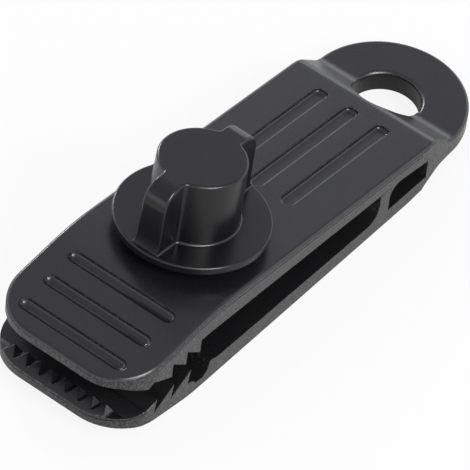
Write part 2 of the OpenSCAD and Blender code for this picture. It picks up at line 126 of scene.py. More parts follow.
class ShaderTree:
    """Makes the nodes of one material or world."""

    def __init__(self, owner: Any) -> None:
        """Starts from an empty tree.

        Args:
            owner: The material or world whose nodes are made.
        """
        owner.use_nodes = True
        self.owner = owner
        self.tree = owner.node_tree
        self.tree.nodes.clear()

    def node(self, kind: str, settings: dict[str, Any] | None = None,
             sockets: dict[str | int, Any] | None = None) -> bpy.types.Node:
        """Makes one node.

        Args:
            kind: Blender's name of the node's type.
            settings: Properties that are set first, or a ramp's stops.
            sockets: Values or links of its inputs, by name or number.

        Returns:
            The new node.
        """
        made = self.tree.nodes.new(kind)
        for name, setting in (settings or {}).items():
            if name == "stops":
                self._stops(made, setting)
            else:
                setattr(made, name, setting)
        for name, value in (sockets or {}).items():
            self._feed(made.inputs[name], value)
        return made

    def maths(self, operation: str, *values: Any) -> Value:
        """Makes a Math node and returns its result as a value."""
        made = self.node("ShaderNodeMath", {"operation": operation}, dict(enumerate(values)))
        return Value(self, made.outputs[0])

    def output(self, node: bpy.types.Node, name: str) -> Value:
        """Wraps a node's named output."""
        return Value(self, node.outputs[name])

    def _feed(self, socket: bpy.types.NodeSocket, value: Any) -> None:
        """Links a value to a socket, or sets the socket's own number.

        Args:
            socket: The input.
            value: A shader value, an output socket, or a plain number or colour.
        """
        if isinstance(value, Value):
            self.tree.links.new(value.socket, socket)
        elif isinstance(value, bpy.types.NodeSocket):
            self.tree.links.new(value, socket)
        else:
            socket.default_value = value

    @staticmethod
    def _stops(ramp: bpy.types.Node, stops: list[tuple[float, tuple[float, ...]]]) -> None:
        """Sets the stops of a colour ramp.

        Args:
            ramp: The ramp's node.
            stops: Places and colours in order.
        """
        elements = ramp.color_ramp.elements
        while len(elements) < len(stops):
            elements.new(1.0)
        for element, (place, colour) in zip(elements, stops):
            element.position = place
            element.color = colour


@dataclass(frozen=True)
class Noise:
    """One noise pattern on Object coordinates."""

    per_m: float
    detail: float
    roughness: float = 0.5
    distortion: float = 0.0

    def value(self, tree: ShaderTree, place: bpy.types.NodeSocket) -> Value:
        """Makes the pattern's node.

        Args:
            tree: The material's nodes.
            place: The coordinates.

        Returns:
            The pattern's strength from 0 to 1.
        """
        made = tree.node("ShaderNodeTexNoise", None, {
            "Vector": place, "Scale": self.per_m, "Detail": self.detail,
            "Roughness": self.roughness, "Distortion": self.distortion})
        return tree.output(made, "Fac")


@dataclass(frozen=True)
class MouldedNylon:
    """Black glass-filled nylon with a fine satin grain, and paler specks on its upright sides that are
    partly grain and partly painted sheen.
    """

    name: str
    colour: tuple[float, float, float] = (0.0060, 0.0060, 0.0067)
    pale: tuple[float, float, float] = (0.011, 0.011, 0.012)
    # paler speck colour of the upright sides: grain, with painted sheen where the sides catch the light
    grain_and_sheen_colour: tuple[float, float, float] = (0.066, 0.064, 0.059)
    roughness: float = 0.28
    roughness_spread: float = 0.10
    grain: Noise = Noise(5200.0, 3.0, 0.6)
    flow: Noise = Noise(95.0, 5.0, 0.55, 0.6)
    # speck pattern: bump grain everywhere, and grain with painted sheen in the colour of the upright sides
    grain_and_sheen: Noise = Noise(2700.0, 2.0, 0.7)
    main_share: float = 0.6
    other_share: float = 0.4
    grain_depth: float = 0.00002
    grain_strength: float = 0.35
    side_grain: float = 16.0
    side_grain_and_sheen: float = 1.0
    side_limit: float = 1.8
    grain_and_sheen_gain: float = 12.0
    grain_and_sheen_start: float = 6.1
    # middle and reach of the eyelet's bore, which lies in shade and gets no painted sheen
    shaded_bore_mid: tuple[float, float, float] = (0.0392, 0.0, 0.0045)
    shaded_bore_r: float = 0.009
    ior: float = 1.5

    def material(self) -> bpy.types.Material:
        """Makes the material.

        Returns:
            A material on Object coordinates.
        """
        tree = ShaderTree(bpy.data.materials.new(self.name))
        spot = tree.node("ShaderNodeTexCoord")
        place = spot.outputs["Object"]
        grain = self.grain.value(tree, place)
        flow = self.flow.value(tree, place)
        grain_and_sheen = self.grain_and_sheen.value(tree, place)
        side = self._side(tree, spot)
        tint = tree.node("ShaderNodeMix", {"data_type": "RGBA"}, {
            "Factor": grain * self.main_share + flow * self.other_share,
            "A": (*self.colour, 1.0), "B": (*self.pale, 1.0)})
        # paler specks on the upright sides: grain and painted sheen
        grain_and_sheen_specks = tree.maths("MAXIMUM", grain_and_sheen * self.grain_and_sheen_gain - self.grain_and_sheen_start, 0.0)
        grain_and_sheen_tint = tree.node("ShaderNodeMix", {"data_type": "RGBA"}, {
            "Factor": grain_and_sheen_specks * side, "A": tint.outputs["Result"], "B": (*self.grain_and_sheen_colour, 1.0)})
        uneven = flow * self.main_share + grain * self.other_share - HALF
        bump = tree.node("ShaderNodeBump", None, {
            "Strength": self.grain_strength, "Distance": self.grain_depth,
            "Height": grain + grain_and_sheen * side * self.side_grain})
        shader = tree.node("ShaderNodeBsdfPrincipled", None, {
            "Base Color": grain_and_sheen_tint.outputs["Result"],
            "Roughness": self.roughness + uneven * self.roughness_spread,
            "IOR": self.ior, "Normal": bump.outputs["Normal"]})
        tree.node("ShaderNodeOutputMaterial", None, {"Surface": shader.outputs["BSDF"]})
        return tree.owner

    def _side(self, tree: ShaderTree, spot: bpy.types.Node) -> Value:
        """Makes the mask of the upright sides, which get the grain specks and the painted sheen, clear of
        the eyelet's shaded bore.

        Args:
            tree: The material's nodes.
            spot: The coordinates' node.

        Returns:
            How far a place counts as a side.
        """
        facing = tree.node("ShaderNodeSeparateXYZ", None, {"Vector": spot.outputs["Normal"]})
        steep = tree.maths("ABSOLUTE", facing.outputs["Z"])
        upright = tree.maths("MAXIMUM", 1.0 - steep * self.side_limit, 0.0)
        # the eyelet's shaded bore is kept free of the painted sheen
        away = tree.node("ShaderNodeVectorMath", {"operation": "DISTANCE"},
                         {0: spot.outputs["Object"], 1: self.shaded_bore_mid})
        clear = tree.maths("GREATER_THAN", away.outputs["Value"], self.shaded_bore_r)
        return upright * clear * self.side_grain_and_sheen


@dataclass(frozen=True)
class ZincSteel:
    """Zinc-plated steel with a faint turned grain."""

    name: str
    colour: tuple[float, float, float] = (0.62, 0.62, 0.60)
    dim: tuple[float, float, float] = (0.48, 0.48, 0.47)
    roughness: float = 0.32
    roughness_spread: float = 0.16
    grain: Noise = Noise(1400.0, 4.0)

    def material(self) -> bpy.types.Material:
        """Makes the material.

        Returns:
            A material on Object coordinates.
        """
        tree = ShaderTree(bpy.data.materials.new(self.name))
        grain = self.grain.value(tree, tree.node("ShaderNodeTexCoord").outputs["Object"])
        tint = tree.node("ShaderNodeMix", {"data_type": "RGBA"}, {
            "Factor": grain, "A": (*self.dim, 1.0), "B": (*self.colour, 1.0)})
        shader = tree.node("ShaderNodeBsdfPrincipled", None, {
            "Base Color": tint.outputs["Result"], "Metallic": 1.0,
            "Roughness": self.roughness + (grain - HALF) * self.roughness_spread})
        tree.node("ShaderNodeOutputMaterial", None, {"Surface": shader.outputs["BSDF"]})
        return tree.owner


class Plane(Enum):
    """Planes that outlines are drawn in, as the axes of the outline and of its extrusion."""

    XY = (Axis.X, Axis.Y, Axis.Z)
    XZ = (Axis.X, Axis.Z, Axis.Y)
    YZ = (Axis.Y, Axis.Z, Axis.X)

    def point(self, across: float, up: float, along: float) -> Vector:
        """Turns a place in the plane into a place in the frame.

        Args:
            across: Place along the outline's first axis.
            up: Place along its second axis.
            along: Place along the extrusion.

        Returns:
            The place in the frame.
        """
        place = Vector((0.0, 0.0, 0.0))
        for axis, value in zip(self.value, (across, up, along)):
            place[axis] = value
        return place


@dataclass(frozen=True)
class Corner:
    """One corner of an outline in millimetres, rounded over the cut length on both sides."""

    across: float
    up: float
    cut: float = 0.0
    steps: int = 1


class Solid:
    """A closed mesh in millimetres that bmesh operators shape."""

    def __init__(self) -> None:
        """Starts with an empty mesh."""
        self.bm = bmesh.new()

    @classmethod
    def prism(cls, plane: Plane, corners: list[Corner], start: float, end: float) -> "Solid":
        """Extrudes an outline.

        Args:
            plane: The plane of the outline.
            corners: The outline's corners in order.
            start: Place of the first end along the extrusion.
            end: Place of the other end.

        Returns:
            The closed prism.
        """
        solid = cls()
        verts = [solid.bm.verts.new(plane.point(c.across, c.up, start)) for c in corners]
        solid.bm.faces.new(verts)
        for vert, corner in zip(verts, corners):
            if corner.cut > 0.0:
                bmesh.ops.bevel(solid.bm, geom=[vert], offset=corner.cut, offset_type="OFFSET",
                                affect="VERTICES", segments=corner.steps, profile=0.5,
                                material=-1, clamp_overlap=False)
        grown = bmesh.ops.extrude_face_region(solid.bm, geom=list(solid.bm.faces))["geom"]
        moved = [part for part in grown if isinstance(part, bmesh.types.BMVert)]
        bmesh.ops.translate(solid.bm, verts=moved, vec=plane.point(0.0, 0.0, end - start))
        return solid.tidy()

    @classmethod
    def lofted(cls, plane: Plane, levels: list[tuple[float, list[Corner]]]) -> "Solid":
        """Extrudes an outline level by level.

        Args:
            plane: The plane of the outlines.
            levels: Places along the extrusion, each with its outline of equally many corners.

        Returns:
            The closed solid.
        """
        solid = cls()
        start, corners = levels[0]
        verts = [solid.bm.verts.new(plane.point(c.across, c.up, start)) for c in corners]
        cap = solid.bm.faces.new(verts)
        for along, corners in levels[1:]:
            order = {tuple(vert.co): i for i, vert in enumerate(verts)}
            grown = bmesh.ops.extrude_face_region(solid.bm, geom=[cap, *cap.edges])["geom"]
            cap = next(part for part in grown if isinstance(part, bmesh.types.BMFace))
            verts = sorted(cap.verts, key=lambda vert: order[tuple(vert.co)])
            for vert, corner in zip(verts, corners):
                vert.co = plane.point(corner.across, corner.up, along)
        return solid.tidy()

    @classmethod
    def rod(cls, foot: float, top: float, radius: float, segments: int = FINE_ROUND) -> "Solid":
        """Makes a round or many-sided rod along Z.

        Args:
            foot: Height of the lower end.
            top: Height of the upper end.
            radius: Distance of the corners from the axis.
            segments: Number of sides.

        Returns:
            The closed rod.
        """
        solid = cls()
        middle = Matrix.Translation((0.0, 0.0, (foot + top) / 2))
        bmesh.ops.create_cone(solid.bm, cap_ends=True, segments=segments, radius1=radius,
                              radius2=radius, depth=top - foot, matrix=middle)
        return solid.tidy()

    @classmethod
    def turned(cls, corners: list[Corner], steps: int = FINE_ROUND) -> "Solid":
        """Turns a closed outline in the XZ plane once round the Z axis.

        Args:
            corners: The outline's corners in order.
            steps: Number of strips round the axis.

        Returns:
            The closed ring.
        """
        solid = cls.prism(Plane.XZ, corners, 0.0, 1.0)
        flat = [f for f in solid.bm.faces if all(abs(v.co.y) < TOUCH for v in f.verts)]
        keep = set(flat[0].edges)
        solid.drop_behind()
        bmesh.ops.delete(solid.bm, geom=list(solid.bm.faces), context="FACES_ONLY")
        loop = [e for e in solid.bm.edges if e in keep]
        bmesh.ops.spin(solid.bm, geom=loop + list(solid.bm.verts), cent=(0.0, 0.0, 0.0),
                       axis=(0.0, 0.0, 1.0), angle=math.tau, steps=steps, use_merge=True)
        return solid.tidy()

    def drop_behind(self) -> None:
        """Deletes all points behind the XZ plane."""
        behind = [v for v in self.bm.verts if v.co.y > TOUCH]
        bmesh.ops.delete(self.bm, geom=behind, context="VERTS")

    def tidy(self) -> "Solid":
        """Merges points that touch and turns all faces outward.

        Returns:
            This solid.
        """
        bmesh.ops.remove_doubles(self.bm, verts=self.bm.verts, dist=TOUCH)
        bmesh.ops.dissolve_degenerate(self.bm, edges=self.bm.edges, dist=TOUCH)
        bmesh.ops.recalc_face_normals(self.bm, faces=self.bm.faces)
        return self

    def moved(self, matrix: Matrix) -> "Solid":
        """Moves or turns the whole solid."""
        bmesh.ops.transform(self.bm, matrix=matrix, verts=self.bm.verts)
        return self

    def combined(self, other: "Solid", operation: Join) -> "Solid":
        """Joins, cuts or crosses this solid with another one, which is used up.

        Args:
            other: The second solid.
            operation: The way to combine them.

        Returns:
            This solid with the result.
        """
        pair = [self._loose("first"), other._loose("second")]
        modifier = pair[0].modifiers.new("combine", "BOOLEAN")
        modifier.solver = "EXACT"
        modifier.operation = operation.value
        modifier.object = pair[1]
        graph = bpy.context.evaluated_depsgraph_get()
        result = bpy.data.meshes.new_from_object(pair[0].evaluated_get(graph))
        self.bm.clear()
        self.bm.from_mesh(result)
        other.bm.free()
        for spare in (result, *(piece.data for piece in pair)):
            bpy.data.meshes.remove(spare)
        self.tidy()
        bmesh.ops.dissolve_limit(self.bm, angle_limit=FLAT, verts=self.bm.verts, edges=self.bm.edges)
        return self

    def joined(self, other: "Solid") -> "Solid":
        """Takes in another solid as it is.

        Args:
            other: The second solid, which is used up.

        Returns:
            This solid with both.
        """
        spare = bpy.data.meshes.new("spare")
        other.bm.to_mesh(spare)
        other.bm.free()
        self.bm.from_mesh(spare)
        bpy.data.meshes.remove(spare)
        return self

    def bevelled(self, width: float, steps: int,
                 chosen: Callable[[bmesh.types.BMEdge], bool]) -> "Solid":
        """Rounds the sharp edges that are chosen.

        Args:
            width: How far the rounding reaches from the edge.
            steps: Number of strips.
            chosen: Says of a sharp edge whether it is rounded.

        Returns:
            This solid.
        """
        sharp = [e for e in self.bm.edges if e.is_manifold and e.calc_face_angle(0.0) > SHARP]
        edges = [e for e in sharp if chosen(e)]
        bmesh.ops.bevel(self.bm, geom=edges, offset=width, offset_type="OFFSET", affect="EDGES",
                        segments=steps, profile=0.5, material=-1, clamp_overlap=False, loop_slide=True)
        return self.tidy()

    def sliced(self, places: list[float], axis: Axis) -> "Solid":
        """Adds cross lines, so that the mesh can bend.

        Args:
            places: Where the lines lie.
            axis: The axis they are counted along.

        Returns:
            This solid.
        """
        along = Vector((0.0, 0.0, 0.0))
        along[axis] = 1.0
        for place in places:
            parts = list(self.bm.verts) + list(self.bm.edges) + list(self.bm.faces)
            bmesh.ops.bisect_plane(self.bm, geom=parts, dist=TOUCH,
                                   plane_co=along * place, plane_no=along)
        return self

    def made(self, name: str, finish: bpy.types.Material, slot: Slot) -> bpy.types.Object:
        """Makes the scene's object.

        Args:
            name: Name of the piece.
            finish: Its material.
            slot: The record's slot for its finish; it is not used.

        Returns:
            The new object, in metres.
        """
        bmesh.ops.scale(self.bm, vec=(MM, MM, MM), verts=self.bm.verts)
        piece = self._loose(name)
        self.bm.free()
        mesh = piece.data
        mesh.shade_smooth()
        mesh.set_sharp_from_angle(angle=SHARP)
        mesh.materials.append(finish)
        even = piece.modifiers.new("even_normals", "WEIGHTED_NORMAL")
        even.keep_sharp = True
        LOG.info("made %s with %d faces", name, len(mesh.polygons))
        return piece

    def _loose(self, name: str) -> bpy.types.Object:
        """Puts the mesh into a new object of the scene.

        Args:
            name: Name of the object and its mesh.

        Returns:
            The new object.
        """
        mesh = bpy.data.meshes.new(name)
        self.bm.to_mesh(mesh)
        piece = bpy.data.objects.new(name, mesh)
        bpy.context.scene.collection.objects.link(piece)
        return piece


def arc(mid: tuple[float, float], radius: float, start: float, end: float, steps: int) -> list[Corner]:
    """Gives the corners along an arc, with its angles in degrees."""
    turns = [math.radians(start + (end - start) * i / steps) for i in range(steps + 1)]
    return [Corner(mid[0] + radius * math.cos(t), mid[1] + radius * math.sin(t)) for t in turns]


def slope(a: float, b: float, share: float) -> float:
    """Gives the value at a share of the way from a to b."""
    return a + (b - a) * share


@dataclass(frozen=True)
class Moulding:
    """Places and slopes that the pieces of the moulded body share, in millimetres and degrees."""

    half_w: float = 15.5
    bend_x: float = -31.0
    top_z: float = 16.8
    tilt: float = 5.5
    droop: float = 7.4
    bend_cut: float = 4.52
    edge_r: float = 0.75
    edge_steps: int = 5
    corner_steps: int = 14
    web_x: float = 16.95
    web_back_x: float = 19.9
    web_under_z: float = 8.683
    web_back_z: float = 8.699
    window_x: float = 31.0
    floor_z: float = 3.15
    knob_x: float = -17.9
    wide: float = 40.0
    past: float = 2.0

    def plate_top(self, x: float) -> float:
        """Gives the height of the upper plate's top."""
        return self.top_z - (x - self.bend_x) * math.tan(math.radians(self.tilt))

    def nose_top(self, x: float) -> float:
        """Gives the height of the upper nose's top."""
        return self.top_z - (self.bend_x - x) * math.tan(math.radians(self.droop))

    def on_plate(self, x: float) -> Matrix:
        """Gives the place on the plate's top at an X position, square to it."""
        turn = Matrix.Rotation(math.radians(self.tilt), 4, "Y")
        return Matrix.Translation((x, 0.0, self.plate_top(x))) @ turn

    def on_nose(self, x: float) -> Matrix:
        """Gives the place on the nose's top at an X position, square to it."""
        turn = Matrix.Rotation(math.radians(-self.droop), 4, "Y")
        return Matrix.Translation((x, 0.0, self.nose_top(x))) @ turn


def lies_at(edge: bmesh.types.BMEdge, axis: Axis, place: float) -> bool:
    """Says whether an edge lies in the plane at a place along an axis."""
    return all(abs(vert.co[axis] - place) < NEAR for vert in edge.verts)


def tops_a_side(edge: bmesh.types.BMEdge) -> bool:
    """Says whether an edge lies between a top face and an upright one."""
    heights = sorted(face.normal.z for face in edge.link_faces)
    return heights[1] > FACES_UP and abs(heights[0]) < UPRIGHT


def foots_a_side(edge: bmesh.types.BMEdge) -> bool:
    """Says whether an edge lies between an underside and an upright face."""
    heights = sorted(face.normal.z for face in edge.link_faces)
    return heights[0] < -FACES_UP and abs(heights[1]) < UPRIGHT


@dataclass
class UpperShell:
    """Upper plate with its drooping nose, barbs and grooves, and the leaf over the window."""

    body: Moulding
    front_x: float = -53.2
    front_t: float = 2.1
    corner_r: float = 9.0
    root_z: float = 12.05
    tooth_x: float = -46.8
    tooth_h: float = 1.45
    tooth_back: float = 1.1
    tooth_rise: float = 0.62
    barb_n: int = 3
    barb_x: float = -41.0
    barb_pitch: float = 3.75
    barb_h: float = 3.0
    barb_draft: float = 0.06
    bend_steps: int = 10
    window_r: float = 2.5
    window_steps: int = 10
    leaf_rear_t: float = 3.75
    groove_depth: float = 0.85
    groove_steps: int = 6
    round_share: float = 0.99
    cross_n: int = 3
    cross_x: float = -48.8
    cross_pitch: float = 6.3
    cross_w: float = 2.5
    cross_l: float = 22.6
    cross_foot_r: float = 1.1
    long_x: float = -0.3
    long_l: float = 29.55
    long_w: float = 2.75
    long_pitch: float = 6.75
    long_end_cut: float = 0.9
    long_end_steps: int = 4
    long_foot_r: float = 0.65
    hole_r: float = 3.35
    seam_drop: float = 1.15
    seam_w: float = 0.16
    seam_depth: float = 0.14
    seam_steps: int = 8
    small_r: float = 0.18
    bend_step: float = 1.75

    def outline(self) -> list[Corner]:
        """Gives the side view of the plate, its teeth and the leaf.

        Returns:
            The corners, along the underside to the rear and back over the top.
        """
        body = self.body
        under_z = body.nose_top(self.front_x) - self.front_t
        tooth_z = under_z - self.tooth_h
        corners = [Corner(self.front_x, under_z), Corner(self.front_x + self.front_t, under_z),
                   Corner(self.tooth_x, tooth_z),
                   Corner(self.tooth_x + self.tooth_back, slope(tooth_z, self.root_z, self.tooth_rise))]
        for i in range(self.barb_n):
            tip_x = self.barb_x + i * self.barb_pitch
            corners += [Corner(tip_x, self.root_z - self.barb_h),
                        Corner(tip_x + self.barb_draft, self.root_z)]
        corners += [Corner(body.bend_x, self.root_z), Corner(body.web_x, body.web_under_z),
                    Corner(body.web_back_x, body.web_back_z)]
        corners += self._window_corner()
        rear_z = body.plate_top(body.window_x)
        corners += [Corner(body.window_x, rear_z - self.leaf_rear_t), Corner(body.window_x, rear_z),
                    Corner(body.bend_x, body.top_z, body.bend_cut, self.bend_steps),
                    Corner(self.front_x, body.nose_top(self.front_x))]
        return corners

    def _window_corner(self) -> list[Corner]:
        """Gives the window's round corner between the web and the leaf.

        Returns:
            The corners along the arc.
        """
        body = self.body
        rear_z = body.plate_top(body.window_x) - self.leaf_rear_t
        lean = math.atan2(body.web_back_z - rear_z, body.window_x - body.web_back_x)
        mid_x = body.web_back_x + self.window_r
        meet_x = mid_x + self.window_r * math.sin(lean)
        fall = (meet_x - body.web_back_x) * math.tan(lean)
        mid_z = body.web_back_z - fall - self.window_r * math.cos(lean)
        return arc((mid_x, mid_z), self.window_r, 180.0, 90.0 - math.degrees(lean), self.window_steps)

    def grooves(self) -> list[Solid]:
        """Makes the cutters of the cross grooves and the long grooves.

        Returns:
            The cutters, in place.
        """
        half_w, half_l = self.cross_w / 2, self.cross_l / 2
        end_cut = half_w * self.round_share
        signs = ((-1, -1), (1, -1), (1, 1), (-1, 1))
        box = [Corner(s * half_w, t * half_l, end_cut, self.groove_steps) for s, t in signs]
        cutters = []
        for i in range(self.cross_n):
            place = self.body.on_nose(self.cross_x + i * self.cross_pitch)
            cutters.append(self._groove(box, self.cross_foot_r).moved(place))
        half_w = self.long_w / 2
        front_cut, rear_cut = half_w * self.round_share, self.long_end_cut
        slot = [Corner(0.0, -half_w, front_cut, self.groove_steps),
                Corner(self.long_l, -half_w, rear_cut, self.long_end_steps),
                Corner(self.long_l, half_w, rear_cut, self.long_end_steps),
                Corner(0.0, half_w, front_cut, self.groove_steps)]
        for i in (-1, 0, 1):
            aside = Matrix.Translation((0.0, i * self.long_pitch, 0.0))
            place = self.body.on_plate(self.long_x) @ aside
            cutters.append(self._groove(slot, self.long_foot_r).moved(place))
        return cutters

    def _groove(self, outline: list[Corner], foot_r: float) -> Solid:
        """Makes one groove's cutter with a rounded foot, its top at the origin."""
        cutter = Solid.prism(Plane.XY, outline, -self.groove_depth, self.body.past)
        return cutter.bevelled(foot_r, self.groove_steps, lambda e: lies_at(e, Axis.Z, -self.groove_depth))

    def seams(self) -> list[Solid]:
        """Makes the cutters of the fine parting line along both sides.

        Returns:
            One cutter for each side.
        """
        body = self.body
        high, low = self.seam_drop - self.seam_w / 2, self.seam_drop + self.seam_w / 2
        front, rear = self.front_x - body.past, body.window_x - body.past
        line = [Corner(front, body.nose_top(front) - high),
                Corner(body.bend_x, body.top_z - high, body.bend_cut, self.seam_steps),
                Corner(rear, body.plate_top(rear) - high), Corner(rear, body.plate_top(rear) - low),
                Corner(body.bend_x, body.top_z - low, body.bend_cut, self.seam_steps),
                Corner(front, body.nose_top(front) - low)]
        inner = body.half_w - self.seam_depth
        return [Solid.prism(Plane.XZ, line, s * inner, s * (inner + body.past)) for s in (-1, 1)]

    def build(self, finish: bpy.types.Material) -> bpy.types.Object:
        """Makes the shell, with cross lines for bending between the lower and the upper jaw.

        Args:
            finish: The body's material.

        Returns:
            The piece.
        """
        body = self.body
        shell = Solid.prism(Plane.XZ, self.outline(), -body.wide, body.wide)
        end_x = body.window_x + body.past
        plan = [Corner(self.front_x, -body.half_w, self.corner_r, body.corner_steps),
                Corner(end_x, -body.half_w), Corner(end_x, body.half_w),
                Corner(self.front_x, body.half_w, self.corner_r, body.corner_steps)]
        shell.combined(Solid.prism(Plane.XY, plan, -body.wide, body.wide), Join.COMMON)
        shell.bevelled(body.edge_r, body.edge_steps,
                       lambda e: tops_a_side(e) and not lies_at(e, Axis.X, body.window_x))
        for cutter in self.grooves():
            shell.combined(cutter, Join.CUT)
        hole = Solid.rod(-body.wide, body.wide, self.hole_r, PLAIN_ROUND)
        shell.combined(hole.moved(body.on_plate(body.knob_x)), Join.CUT)
        shell.bevelled(self.small_r, SMALL_STEPS, self._is_free)
        for cutter in self.seams():
            shell.combined(cutter, Join.CUT)
        steps = int((body.window_x - body.web_x) / self.bend_step)
        shell.sliced([body.web_x + self.bend_step * (i + HALF) for i in range(steps)], Axis.X)
        piece = shell.made("upper_shell", finish, Slot.BODY)
        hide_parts("upper_jaw", "rear_leaf")
        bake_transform(piece)
        return piece

    def _is_free(self, edge: bmesh.types.BMEdge) -> bool:
        """Says whether an edge is clear of the joints with the web and the rear block."""
        body = self.body
        return not lies_at(edge, Axis.X, body.window_x) and not lies_at(edge, Axis.X, body.web_back_x)


@dataclass
class LowerShell:
    """Lower plate with its raised nose, lip teeth, barbs, rear block, eyelet and nut boss."""

    body: Moulding
    front_x: float = -54.2
    corner_r: float = 9.1
    bend_x: float = -35.5
    bend_cut: float = 2.0
    bend_steps: int = 6
    nose_slope: float = 10.3
    lip_z: float = 5.5
    tip_x: float = -51.15
    tip_h: float = 1.15
    notch_x: float = -53.5
    notch_end_z: float = 5.2
    tooth_pitch: float = 2.8
    tooth_n: int = 8
    tooth_r: float = 0.28
    notch_steps: int = 3
    tooth_steps: int = 4
    ribs_x: float = -50.5
    ribs_end_x: float = -47.1
    ribs_z: float = 5.05
    ribs_end_z: float = 5.45
    rib_pitch: float = 0.45
    rib_crest: float = 0.65
    rib_h: float = 0.1
    rib_n: int = 7
    barb_n: int = 3
    barb_x: float = -44.6
    barb_pitch: float = 4.5
    barb_tip_z: float = 6.65
    barb_root_z: float = 3.6
    barb_hook: float = 0.6
    trough_z: float = 1.8
    trough_x: float = -33.9
    trough_dip: float = 0.3
    trough_foot: float = 0.1
    trough_end_x: float = -30.3
    trough_slope_l: float = 1.6
    trough_knee: float = 0.35
    trough_knee_rise: float = 0.4
    trough_lip_h: float = 0.5
    trough_lip_fade: float = 4.0
    plate_z: float = 4.0
    web_foot_x: float = 13.95
    ridge_x: float = 32.9
    ridge_cut: float = 0.9
    ridge_steps: int = 5
    facet_x: float = 38.6
    facet_cut: float = 1.4
    facet_steps: int = 6
    eyelet_x: float = 39.2
    eyelet_r: float = 15.0
    eyelet_steps: int = 48
    eyelet_z: float = 6.6
    eyelet_t: float = 4.2
    hole_r: float = 6.4
    rim_r: float = 0.8
    rise_x: float = 26.0
    rear_foot_steps: int = 4
    mid_z: float = 0.45
    under_end_x: float = 35.5
    under_cut: float = 1.0
    under_steps: int = 4
    nut_x: float = -18.977
    boss_r: float = 7.5
    boss_z: float = 7.0
    boss_edge_r: float = 0.4
    boss_edge_steps: int = 3
    bore_r: float = 3.4
    pocket_r: float = 5.831
    pocket_z: float = 5.4
    seam_drop: float = 0.55
    seam_w: float = 0.14
    seam_depth: float = 0.14
    small_r: float = 0.1

    def outline(self) -> list[Corner]:
        """Gives the side view from the lip to the eyelet and back along the underside.

        Returns:
            The corners in order.
        """
        under_z = (self.bend_x - self.front_x) * math.tan(math.radians(self.nose_slope))
        corners = [Corner(self.front_x, under_z), Corner(self.front_x, self.lip_z),
                   Corner(self.tip_x, slope(self.ribs_z, self.lip_z, HALF))]
        for i in range(self.rib_n):
            for step, lift in ((i, 0.0), (i + self.rib_crest, self.rib_h)):
                x = self.ribs_x + step * self.rib_pitch
                share = (x - self.ribs_x) / (self.ribs_end_x - self.ribs_x)
                corners.append(Corner(x, slope(self.ribs_z, self.ribs_end_z, share) + lift))
        corners.append(Corner(self.ribs_end_x, self.ribs_end_z))
        for i in range(self.barb_n):
            tip_x = self.barb_x + i * self.barb_pitch
            corners += [Corner(tip_x, self.barb_tip_z),
                        Corner(tip_x - self.barb_hook, self.barb_root_z)]
        return corners + self._trough() + self._rear()

    def _trough(self) -> list[Corner]:
        """Gives the trough behind the last barb, up to the plate.

        Returns:
            The corners in order.
        """
        last_x = self.barb_x + (self.barb_n - 1) * self.barb_pitch
        lip_z = self.plate_z + self.trough_lip_h
        end_x, slope_l = self.trough_end_x, self.trough_slope_l
        return [Corner(slope(last_x, self.trough_x, HALF),
                       slope(self.barb_root_z, self.trough_z, self.trough_dip)),
                Corner(self.trough_x, slope(self.trough_z, self.barb_root_z, self.trough_foot)),
                Corner(end_x - slope_l, self.trough_z),
                Corner(end_x - self.trough_knee * slope_l,
                       slope(self.trough_z, self.plate_z, self.trough_knee_rise)),
                Corner(end_x, lip_z), Corner(end_x + self.trough_lip_h, lip_z),
                Corner(end_x + self.trough_lip_fade * self.trough_lip_h, self.plate_z)]

    def _rear(self) -> list[Corner]:
        """Gives the window's floor, the rear block, the eyelet and the underside.

        Returns:
            The corners in order.
        """
        body = self.body
        end_x = self.eyelet_x + self.eyelet_r + body.past
        under_z = self.eyelet_z - self.eyelet_t
        return [Corner(self.web_foot_x, body.floor_z), Corner(body.window_x, body.floor_z),
                Corner(body.window_x, body.plate_top(body.window_x)),
                Corner(self.ridge_x, body.plate_top(self.ridge_x), self.ridge_cut, self.ridge_steps),
                Corner(self.facet_x, self.eyelet_z, self.facet_cut, self.facet_steps),
                Corner(end_x, self.eyelet_z), Corner(end_x, under_z),
                Corner(self.under_end_x, under_z, self.under_cut, self.under_steps),
                Corner(body.window_x, self.mid_z), Corner(self.rise_x, 0.0),
                Corner(self.bend_x, 0.0, self.bend_cut, self.bend_steps)]

    def teeth(self) -> Solid:
        """Makes the row of pyramid teeth on the lip.

        Returns:
            The row, in place.
        """
        tip_z = self.lip_z + self.tip_h
        half = self.tooth_n * self.tooth_pitch / 2
        low_z = self.ribs_z - self.rib_h
        section = [Corner(self.front_x, low_z), Corner(self.front_x, self.lip_z),
                   Corner(self.tip_x, tip_z), Corner(self.ribs_x, low_z)]
        row = Solid.prism(Plane.XZ, section, -half, half)
        notch_z = slope(self.lip_z, tip_z, (self.notch_x - self.front_x) / (self.tip_x - self.front_x))
        fall = (notch_z - self.notch_end_z) / (self.ribs_x - self.notch_x)
        deep = tip_z - notch_z + fall * (self.tip_x - self.notch_x)
        wide, over = self.tooth_pitch / 2, deep + self.body.past
        zigzag = [Corner(-half - wide, deep)]
        for i in range(self.tooth_n + 1):
            y = (i - self.tooth_n / 2) * self.tooth_pitch
            zigzag += [Corner(y, 0.0, self.tooth_r, self.notch_steps),
                       Corner(y + wide, deep, self.tooth_r, self.tooth_steps)]
        zigzag += [Corner(half + wide, over), Corner(-half - wide, over)]
        turn = Matrix.Rotation(math.atan(fall), 4, "Y")
        cutter = Solid.prism(Plane.YZ, zigzag, 0.0, 2 * self.body.past)
        cutter.moved(Matrix.Translation((self.notch_x, 0.0, notch_z)) @ turn)
        return row.combined(cutter, Join.CUT)

